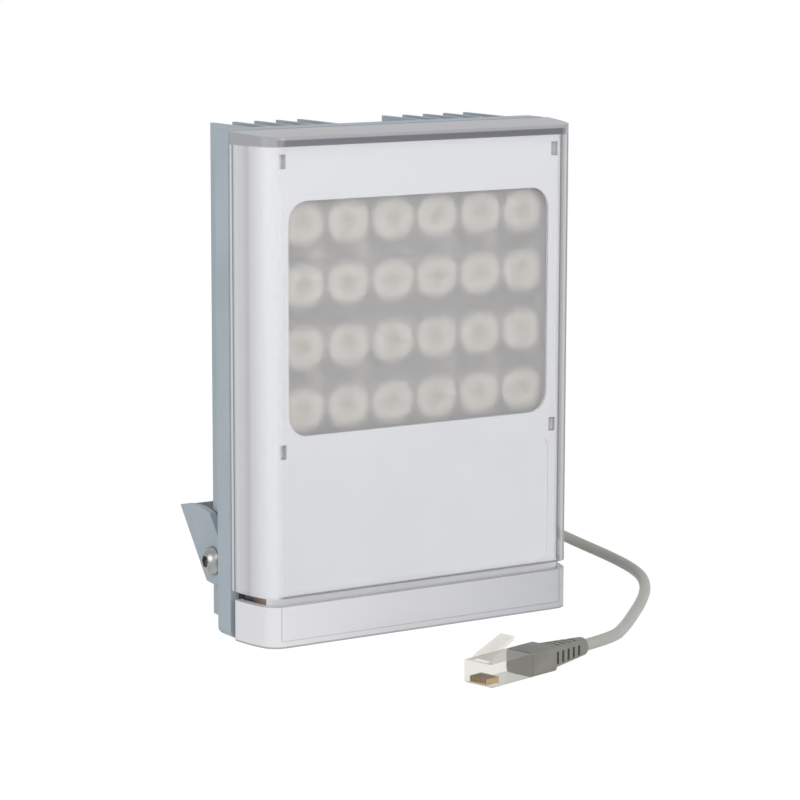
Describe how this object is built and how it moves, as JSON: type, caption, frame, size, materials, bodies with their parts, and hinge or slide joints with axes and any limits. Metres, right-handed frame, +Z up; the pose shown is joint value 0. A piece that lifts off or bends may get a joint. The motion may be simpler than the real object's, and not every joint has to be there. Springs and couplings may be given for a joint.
{
  "type": "white light illuminator",
  "caption": "Wall-mounted white light illuminator: lens-array window, sliding clear cover, finned heatsink, tilting U bracket and a network cord.",
  "frame": {"origin": "middle of the underside of the unit with its bracket, without the cord", "axes": "+Z up along the fins, the window looks along -Y, +X to the right as seen from the front"},
  "size_m": [0.1907, 0.1946, 0.18],
  "materials": {
    "powder_coated_aluminium": "fine powder coat",
    "bracket_metal": "fine powder coat",
    "silicone_gasket": "matt",
    "white_plastic": "satin",
    "clear_plastic": "polished",
    "window_glass": "polished",
    "diffuser_film": "frosted",
    "translucent_plastic": "satin",
    "dark_tinted_plastic": "polished",
    "white_circuit_board": "satin",
    "led_phosphor": "satin",
    "steel_fastener": "satin",
    "green_circuit_board": "satin",
    "brass_standoff": "satin",
    "transformer_black": "matt",
    "capacitor_sleeve": "satin",
    "terminal_plastic": "satin",
    "photocell_resin": "polished",
    "gland_plastic": "satin",
    "cord_jacket": "satin",
    "boot_plastic": "satin",
    "plug_plastic": "polished",
    "gold_contact": "polished",
    "lens_plastic": "polished"
  },
  "bodies": {
    "housing": {"heatsink_housing": "powder_coated_aluminium", "housing_gasket": "silicone_gasket", "gland_seal": "silicone_gasket", "inner_frame": "white_plastic", "inner_window": "window_glass", "bottom_cap": "translucent_plastic", "sensor_window_left": "dark_tinted_plastic", "sensor_window_right": "dark_tinted_plastic", "led_board_left": "white_circuit_board", "led_board_right": "white_circuit_board", "leds_left": "led_phosphor", "leds_right": "led_phosphor", "board_screws": "steel_fastener", "frame_screws": "steel_fastener", "bottom_cap_screws": "steel_fastener", "driver_screws": "steel_fastener", "bracket_screws": "steel_fastener", "bracket_washers": "steel_fastener", "driver_board": "green_circuit_board", "driver_standoffs": "brass_standoff", "driver_transformer": "transformer_black", "driver_capacitors": "capacitor_sleeve", "driver_terminal": "terminal_plastic", "photocell": "photocell_resin", "gland_body": "gland_plastic", "gland_lock_nut": "gland_plastic", "gland_dome_nut": "gland_plastic", "cord": "cord_jacket", "plug_boot": "boot_plastic", "plug_body": "plug_plastic", "plug_contacts": "gold_contact", "lens_row1_column1": "lens_plastic", "lens_row1_column2": "lens_plastic", "lens_row1_column3": "lens_plastic", "lens_row1_column4": "lens_plastic", "lens_row1_column5": "lens_plastic", "lens_row1_column6": "lens_plastic", "lens_row2_column1": "lens_plastic", "lens_row2_column2": "lens_plastic", "lens_row2_column3": "lens_plastic", "lens_row2_column4": "lens_plastic", "lens_row2_column5": "lens_plastic", "lens_row2_column6": "lens_plastic", "lens_row3_column1": "lens_plastic", "lens_row3_column2": "lens_plastic", "lens_row3_column3": "lens_plastic", "lens_row3_column4": "lens_plastic", "lens_row3_column5": "lens_plastic", "lens_row3_column6": "lens_plastic", "lens_row4_column1": "lens_plastic", "lens_row4_column2": "lens_plastic", "lens_row4_column3": "lens_plastic", "lens_row4_column4": "lens_plastic", "lens_row4_column5": "lens_plastic", "lens_row4_column6": "lens_plastic"},
    "bracket": {"bracket": "bracket_metal"},
    "cover": {"front_cover": "clear_plastic", "mask_plate": "white_plastic", "diffuser_sheet": "diffuser_film"}
  },
  "joints": [
    {"name": "bracket_tilt", "type": "hinge", "parent": "housing", "child": "bracket", "pos_m": [0, 0.01194, 0.0222], "axis": [-1, 0, 0], "range_deg": [-43, 2]},
    {"name": "cover_slide", "type": "slide", "parent": "housing", "child": "cover", "axis": [0, 0, 1], "range_m": [0, 0.158]}
  ]
}
